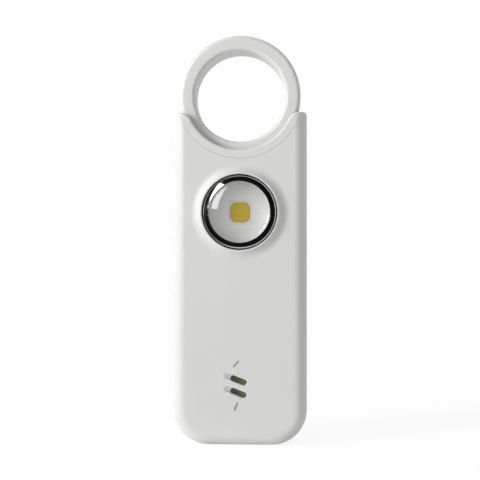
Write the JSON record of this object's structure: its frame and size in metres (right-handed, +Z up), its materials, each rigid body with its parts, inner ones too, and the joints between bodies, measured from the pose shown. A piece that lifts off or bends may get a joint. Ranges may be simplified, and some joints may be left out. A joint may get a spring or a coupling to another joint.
{
  "type": "personal safety alarm",
  "caption": "Slim hand-held personal alarm: rounded casing, round pull ring in a horned cradle, domed lamp in a chrome ring, slanted sound slots.",
  "frame": {"origin": "centre of the finger hole in the pull ring, at the middle of the casing's thickness", "axes": "+Z up along the casing, from its bottom end to the ring; +Y to the back, so the front with the lamp faces -Y; +X to the right as the front is seen"},
  "size_m": [0.0352, 0.0169, 0.1079],
  "materials": {
    "casing": "fine satin moulded plastic, warm grey-white",
    "chrome_plate": "polished chrome plate",
    "clear_dome": "clear polished polycarbonate",
    "dish_white": "smooth white plastic",
    "led_housing": "white LED housing",
    "phosphor": "yellow phosphor in silicone",
    "board_green": "green solder mask",
    "chip_black": "moulded epoxy",
    "ferrite": "sintered ferrite",
    "copper_wire": "enamelled copper wire",
    "can_aluminium": "drawn can",
    "piezo_ceramic": "fired piezo ceramic with a silvered face",
    "disc_brass": "rolled brass sheet",
    "seal_rubber": "soft black rubber",
    "lead_red": "red insulation",
    "lead_black": "black insulation",
    "holder_black": "black nylon",
    "cell_steel": "nickel-plated steel can",
    "contact_steel": "nickel-plated spring steel",
    "screw_steel": "zinc-plated steel",
    "switch_black": "black switch housing",
    "plunger_red": "red switch button",
    "small_parts": "ceramic chip parts"
  },
  "bodies": {
    "housing": {"front_shell": "casing", "rear_shell": "casing", "cradle_collar": "casing", "lamp_bezel": "chrome_plate", "lamp_lens": "clear_dome", "lens_gasket": "seal_rubber", "lamp_reflector": "dish_white", "led_package": "led_housing", "led_phosphor": "phosphor", "main_board": "board_green", "control_chip": "chip_black", "board_components": "small_parts", "transformer_core": "ferrite", "transformer_winding": "copper_wire", "smoothing_capacitor": "can_aluminium", "switch_case": "switch_black", "siren_disc": "disc_brass", "siren_ceramic": "piezo_ceramic", "siren_gasket": "seal_rubber", "siren_lead_red": "lead_red", "siren_lead_black": "lead_black", "battery_holder": "holder_black", "coin_cell_front": "cell_steel", "coin_cell_rear": "cell_steel", "negative_contact": "contact_steel", "positive_contact": "contact_steel", "case_screws": "screw_steel", "board_screws": "screw_steel"},
    "pull_key": {"pull_ring": "casing"},
    "plunger": {"switch_plunger": "plunger_red"},
    "cell_cover": {"battery_cover": "casing", "battery_cover_seal": "seal_rubber"}
  },
  "joints": [
    {"name": "key_pull", "type": "slide", "parent": "housing", "child": "pull_key", "axis": [0, 0, 1], "range_m": [0, 0.012]},
    {"name": "plunger_rise", "type": "slide", "parent": "housing", "child": "plunger", "axis": [0, 0, 1], "range_m": [0, 0.0008]},
    {"name": "cover_turn", "type": "hinge", "parent": "housing", "child": "cell_cover", "pos_m": [0, 0.007, -0.052], "axis": [0, 1, 0], "range_deg": [0, 45]}
  ],
  "couplings": [
    {"joint": "plunger_rise", "follows": "key_pull", "ratio": 0.0666}
  ]
}
